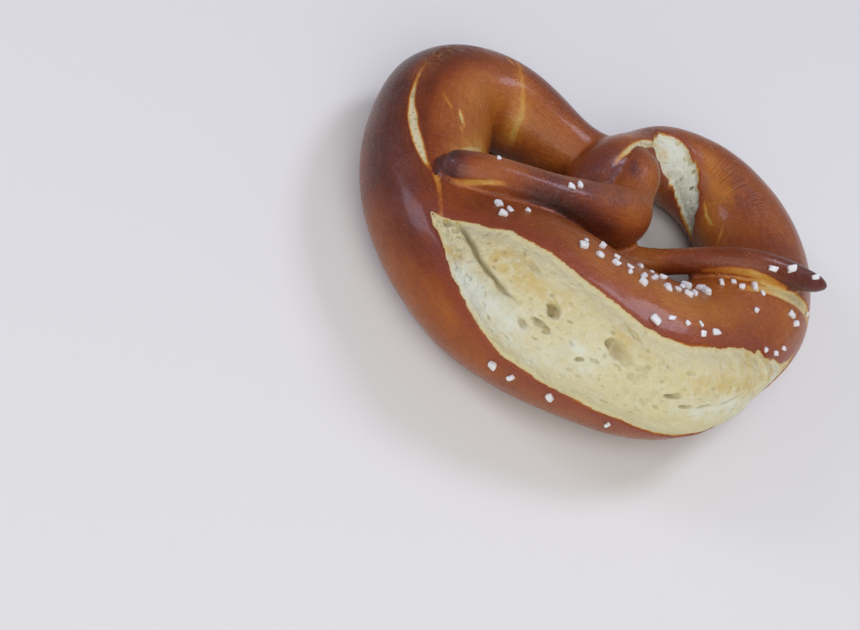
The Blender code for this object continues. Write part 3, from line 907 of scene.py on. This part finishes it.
# ---- materials
class Surface:
    """One material, with short ways to add its shader nodes."""

    def __init__(self, name):
        self.material = bpy.data.materials.new(name)
        self.material.use_nodes = True
        self.tree = self.material.node_tree
        self.shader = self.tree.nodes["Principled BSDF"]

    def add(self, kind, inputs, output=0, **settings):
        node = self.tree.nodes.new(kind)
        for name, value in settings.items():
            setattr(node, name, value)
        for key, value in inputs.items():
            self.feed(node.inputs[key], value)
        return node.outputs[output]

    def feed(self, socket, value):
        if isinstance(value, bpy.types.NodeSocket):
            self.tree.links.new(value, socket)
        else:
            socket.default_value = value

    def set(self, **values):
        """Values for the shader, named as its inputs with _ for a space."""
        for name, value in values.items():
            self.feed(self.shader.inputs[name.replace("_", " ")], value)

    def value(self, name, output="Fac"):
        """A value that the mesh carries."""
        return self.add("ShaderNodeAttribute", {}, output, attribute_name=name)

    def stretched(self, spot, shares):
        return self.add("ShaderNodeVectorMath", {0: spot, 1: shares}, operation="MULTIPLY")

    def place(self):
        """The place in the object, in mm."""
        return self.stretched(self.add("ShaderNodeTexCoord", {}, "Object"), (1 / MM,) * 3)

    def noise(self, spot, size, detail=2, roughness=0.5, distortion=0):
        """Noise of 0 to 1 whose features are about size mm across."""
        return self.add("ShaderNodeTexNoise", {
            "Vector": spot, "Scale": 1 / size, "Detail": detail,
            "Roughness": roughness, "Distortion": distortion}, "Fac")

    def math(self, operation, parts):
        total = parts[0]
        for part in parts[1:]:
            total = self.add("ShaderNodeMath", {0: total, 1: part}, operation=operation)
        return total

    def sum(self, *parts):
        return self.math("ADD", parts)

    def times(self, *parts):
        return self.math("MULTIPLY", parts)

    def wave(self, value, amount):
        """A noise turned into a change round 0."""
        return self.times(self.sum(value, -0.5), amount)

    def step(self, value, low, high, to_low=0, to_high=1):
        return self.add("ShaderNodeMapRange", {
            "Value": value, "From Min": low, "From Max": high,
            "To Min": to_low, "To Max": to_high}, interpolation_type="SMOOTHSTEP")

    def painted(self, tint, *layers):
        """A colour with others mixed over it: the share and the colour of each."""
        for share, over in layers:
            tint = self.add("ShaderNodeMix", {0: share, 6: colour(tint), 7: colour(over)}, 2,
                            data_type="RGBA")
        return tint

    def ramp(self, value, stops):
        node = self.tree.nodes.new("ShaderNodeValToRGB")
        self.feed(node.inputs["Fac"], value)
        elements = node.color_ramp.elements
        while len(elements) < len(stops):
            elements.new(0.5)
        for element, (place, tint) in zip(elements, stops):
            element.position = place
            element.color = (*tint, 1)
        return node.outputs["Color"]

    def relief(self, *layers):
        """A normal from heights laid over one another, each with its distance in mm."""
        inputs = {"Strength": 1.0}
        for height, distance in layers:
            inputs.update(Height=height, Distance=distance * MM)
            inputs["Normal"] = self.add("ShaderNodeBump", inputs, "Normal")
        return inputs["Normal"]


def colour(value):
    """A colour of three numbers gets its fourth; a socket stays as it is."""
    return (*value, 1) if isinstance(value, tuple) else value


# The crust's colours as it browns, from pale dough to black.
BROWNS = [
    (0, (0.58, 0.53, 0.37)), (0.09, (0.56, 0.44, 0.2)), (0.2, (0.5, 0.27, 0.055)),
    (0.34, (0.42, 0.15, 0.02)), (0.5, (0.29, 0.075, 0.012)), (0.64, (0.185, 0.038, 0.009)),
    (0.8, (0.085, 0.016, 0.007)), (1, (0.02, 0.008, 0.006)),
]
RIM_RED = (0.225, 0.045, 0.022)  # the crust beside the burst is redder
PLUM_AND_SHEEN = (0.12, 0.036, 0.034)  # where the lye took most the brown turns purple; partly it is painted reflection of cool light
FLECK = (0.45, 0.18, 0.05)
SPLIT_SHADE = (0.36, 0.29, 0.15)
SCAR_TAN = (0.36, 0.15, 0.06)


def crust_material():
    m = Surface("crust")
    place = m.place()
    rope = m.value("rope", "Vector")
    plum_and_sheen = m.value("plum_and_sheen")
    scar = m.value("scar")
    alone = m.step(m.value("gap"), 0.5, 2.5)  # 0 in the seams between strands
    rim = m.sum(m.value("rim"), m.wave(m.noise(place, 1.2, 3), 0.35))
    pale = m.sum(m.value("pale"), m.wave(m.noise(place, 1, 3, 0.6), 0.5))
    mottle = m.noise(place, 2.2, 4, 0.65)
    streaks = m.noise(m.stretched(rope, (0.06, 1, 1)), 0.8, 3, 0.6)
    streaks = m.times(m.sum(streaks, -0.5), alone)
    wrinkles = m.noise(m.stretched(rope, (1, 0.08, 0.08)), 0.9, 2, 0.5, 0.5)
    wrinkles = m.times(wrinkles, m.value("wrinkle"))
    # brown also carries painted shade, from some of its patches and from the seams between
    # strands
    brown = m.sum(m.value("brown"), m.wave(m.noise(place, 13, 3, 0.55), 0.26),
                  m.wave(mottle, 0.12), m.times(streaks, 0.13), m.times(wrinkles, -0.12),
                  # the crease value adds painted shade in the seams between strands
                  m.step(rim, 0, 5, 0.05, 0), m.times(m.value("crease"), 0.2))
    # pale splits and seams have an amber halo; the burst's very rim is orange
    brown = m.times(brown, m.step(pale, -1, 0.9, 1, 0.04),
                    m.step(rim, -0.45, 0.12, 0.42, 1), m.step(rim, -0.9, -0.4, 0.1, 1))
    # where the crust is dark enough, by browning or by painted shade
    browned_or_shaded = m.step(brown, 0.36, 0.5)
    near_rim = m.times(m.step(rim, 0.1, 0.6), m.step(rim, 2.5, 7, 0.55, 0),
                       m.step(brown, 0.2, 0.4))
    # purple: partly the crust's own purple-brown, partly painted reflection of cool light
    purple = m.times(plum_and_sheen, m.step(m.noise(place, 6, 3, 0.6), 0.3, 0.6), browned_or_shaded)
    fleck = m.times(m.step(m.noise(place, 0.5, 2), 0.64, 0.74), 0.35, browned_or_shaded)
    # pits in the bare crumb of a split, and rough scars
    pits = m.times(m.step(m.noise(place, 1.5, 2, 0.5), 0.56, 0.66), m.step(pale, 0.3, 0.9))
    torn = m.times(scar, m.step(m.noise(place, 1.1, 3, 0.6), 0.42, 0.6))
    tint = m.painted(m.ramp(brown, BROWNS), (near_rim, RIM_RED), (purple, PLUM_AND_SHEEN), (fleck, FLECK),
                     (m.times(pits, 0.45), SPLIT_SHADE), (m.times(torn, 0.75), SCAR_TAN))
    roughness = m.sum(m.step(pale, -0.6, 0.6, 0.28, 0.75), m.wave(mottle, 0.26),
                      m.times(scar, 0.25), m.times(plum_and_sheen, -0.08))
    dimples = m.noise(place, 0.62, 3, 0.6)
    crinkle = m.times(m.noise(place, 1.7, 3, 0.6), plum_and_sheen)
    relief = m.relief((dimples, 0.2), (crinkle, 0.45), (pits, -0.25), (torn, 0.5),
                      (streaks, 0.2), (wrinkles, 0.6), (mottle, 0.38))
    m.set(Base_Color=tint, Roughness=roughness, Normal=relief)
    m.set(IOR=1.38, Specular_Tint=(1, 0.72, 0.62, 1))
    m.set(Coat_Weight=0.22, Coat_Roughness=0.14, Coat_IOR=1.4)
    return m.material


CRUMB_CREAM = (0.6, 0.55, 0.33)
CRUMB_WHITE = (0.64, 0.665, 0.56)
CRUMB_GOLD = (0.55, 0.425, 0.165)
CRUMB_SHADE = (0.36, 0.285, 0.135)
CRUMB_ORANGE = (0.4, 0.15, 0.03)


def crumb_material():
    m = Surface("crumb")
    place = m.place()
    hollow = m.value("hollow")
    edge = m.sum(m.value("edge"), m.wave(m.noise(place, 1.5, 3), 0.6))
    grain = m.noise(place, 0.8, 4, 0.7)
    fibre = m.noise(place, 2.2, 5, 0.65, 1.6)
    white = m.sum(m.value("white"), m.wave(m.noise(place, 7, 3, 0.6), 1.6))
    toast = m.times(m.value("toast"), m.step(m.noise(place, 3.4, 4, 0.6), 0.28, 0.68), 0.95)
    tint = m.painted(
        CRUMB_CREAM,
        (m.step(white, 0.1, 0.9), CRUMB_WHITE),
        (toast, CRUMB_GOLD),
        (m.step(fibre, 0.52, 0.68, 0, 0.4), CRUMB_WHITE),
        (m.step(fibre, 0.46, 0.32, 0, 0.22), CRUMB_GOLD),
        (m.step(grain, 0.56, 0.72, 0, 0.28), CRUMB_SHADE),
        # holes, pores and the crease's cleft are darkened by their depth, as painted shade
        (m.step(hollow, 0.08, 0.9, 0, 0.25), CRUMB_SHADE),
        (m.step(hollow, 0.9, 2.4, 0, 0.8), CRUMB_SHADE),
        (m.step(edge, 0.1, 1.6, 0.5, 0), CRUMB_GOLD),
        (m.step(edge, -0.3, 0.35, 0.85, 0), CRUMB_ORANGE))
    relief = m.relief((grain, 0.3), (fibre, 0.35), (m.noise(place, 0.33, 3, 0.6), 0.12))
    m.set(Base_Color=tint, Roughness=m.step(grain, 0.2, 0.8, 0.72, 0.92), Normal=relief)
    m.set(Subsurface_Weight=0.12, Subsurface_Radius=(1, 0.7, 0.4), Subsurface_Scale=1.2 * MM)
    return m.material


SALT_CLEAR_WHITE = (0.7, 0.71, 0.74)
SALT_GREY = (0.6, 0.58, 0.56)


def salt_material():
    m = Surface("salt")
    place = m.place()
    grain = m.noise(place, 0.5, 4, 0.6)
    tint = m.painted(SALT_CLEAR_WHITE, (m.step(m.noise(place, 1.6, 2), 0.35, 0.7), SALT_GREY))
    m.set(Base_Color=tint, Roughness=m.step(grain, 0.3, 0.7, 0.35, 0.6))
    m.set(Normal=m.relief((grain, 0.12)))
    m.set(Subsurface_Weight=0.25, Subsurface_Radius=(1, 1, 1), Subsurface_Scale=0.8 * MM)
    return m.material


# ---- stage and camera
FLOOR_SIZE = 6
FLOOR_COLOUR = (0.7, 0.7, 0.69, 1)

CAMERA_TARGET = Vector((-50, -43.7, 20)) * MM
CAMERA_DISTANCE = 321.7 * MM
CAMERA_AZIMUTH = 22.1  # degrees that it looks round from +Y towards +X
CAMERA_ELEVATION = 52.5  # degrees that it looks down
CAMERA_ROLL = 33.4  # degrees that it is turned about its own line of sight
CAMERA_LENS = 49.45  # mm, on a sensor 36 mm wide

# Soft lights: name, azimuth and elevation from the pretzel, distance and width in
# metres, power in watts, colour.
LIGHTS = [
    ("key", 258, 60, 1.1, 1, 6.6, (1, 0.985, 0.955)),
    ("front", 272, 22, 1.1, 1.1, 6, (1, 0.975, 0.94)),
    ("back", 40, 52, 0.9, 0.24, 3, (0.78, 0.78, 1)),
    ("left", 166, 31, 0.9, 0.24, 1.9, (0.74, 0.74, 1)),
]
WORLD_COLOUR = (0.98, 0.98, 1, 1)
WORLD_STRENGTH = 0.2


def towards(azimuth, elevation):
    """The direction at an azimuth, counted from +X towards +Y, and an elevation."""
    a, e = math.radians(azimuth), math.radians(elevation)
    return Vector((math.cos(e) * math.cos(a), math.cos(e) * math.sin(a), math.sin(e)))


def make_floor():
    edge = FLOOR_SIZE / MM / 2
    points = [(-edge, -edge, 0), (edge, -edge, 0), (edge, edge, 0), (-edge, edge, 0)]
    floor = new_object("floor", points, [(0, 1, 2, 3)])
    m = Surface("floor")
    m.set(Base_Color=FLOOR_COLOUR, Roughness=0.9)
    floor.data.materials.append(m.material)


def make_lights():
    middle = (CAD_BOX[0] + CAD_BOX[1]) / 2
    for name, azimuth, elevation, distance, width, power, tint in LIGHTS:
        lamp = bpy.data.lights.new(name, "AREA")
        lamp.shape = "SQUARE"
        lamp.size = width
        lamp.energy = power
        lamp.color = tint
        stand = bpy.data.objects.new(name, lamp)
        way = towards(azimuth, elevation)
        stand.location = middle + way * distance
        stand.rotation_euler = way.to_track_quat("Z", "Y").to_euler()
        scene.collection.objects.link(stand)
    world = bpy.data.worlds.new("studio")
    world.use_nodes = True
    sky = world.node_tree.nodes["Background"]
    sky.inputs["Color"].default_value = WORLD_COLOUR
    sky.inputs["Strength"].default_value = WORLD_STRENGTH
    scene.world = world
    scene.view_settings.view_transform = "Standard"


def make_camera():
    sight = towards(90 - CAMERA_AZIMUTH, -CAMERA_ELEVATION)
    lens = bpy.data.cameras.new("camera")
    lens.lens = CAMERA_LENS
    lens.clip_start = 0.01
    camera = bpy.data.objects.new("camera", lens)
    level = sight.to_track_quat("-Z", "Y").to_matrix().to_4x4()
    roll = Matrix.Rotation(math.radians(CAMERA_ROLL), 4, "Z")
    place = Matrix.Translation(CAMERA_TARGET - sight * CAMERA_DISTANCE)
    camera.matrix_world = place @ level @ roll
    scene.collection.objects.link(camera)
    scene.camera = camera


def place_piece(piece, material):
    piece.data.materials.append(material)
    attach(piece, "root")
    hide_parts("pretzel")


def build():
    make_camera()
    make_lights()
    make_floor()
    rope = Rope(ROPE_SPACING)
    crust = crust_blank(rope)
    dress_crust(crust, rope)
    pores = pore_rows(BURST_OPENING, PORES, PORE_SEED)
    burst = crumb_piece("burst_crumb", rope, BURST_OPENING, burst_crumb_lift, HOLES, pores,
                        TOAST, WHITE, CRUMB_COLUMNS)
    torn_pores = pore_rows(TEAR_OPENING, TORN_PORES, PORE_SEED + 1)
    torn = crumb_piece("torn_crumb", rope, TEAR_OPENING, torn_crumb_lift, TORN_HOLES, torn_pores,
                       TORN_TOAST, TORN_WHITE, TORN_COLUMNS)
    salt = salt_piece(Rope())
    crumb = crumb_material()
    place_piece(crust, crust_material())
    place_piece(burst, crumb)
    place_piece(torn, crumb)
    place_piece(salt, salt_material())


build()
bpy.context.view_layer.update()
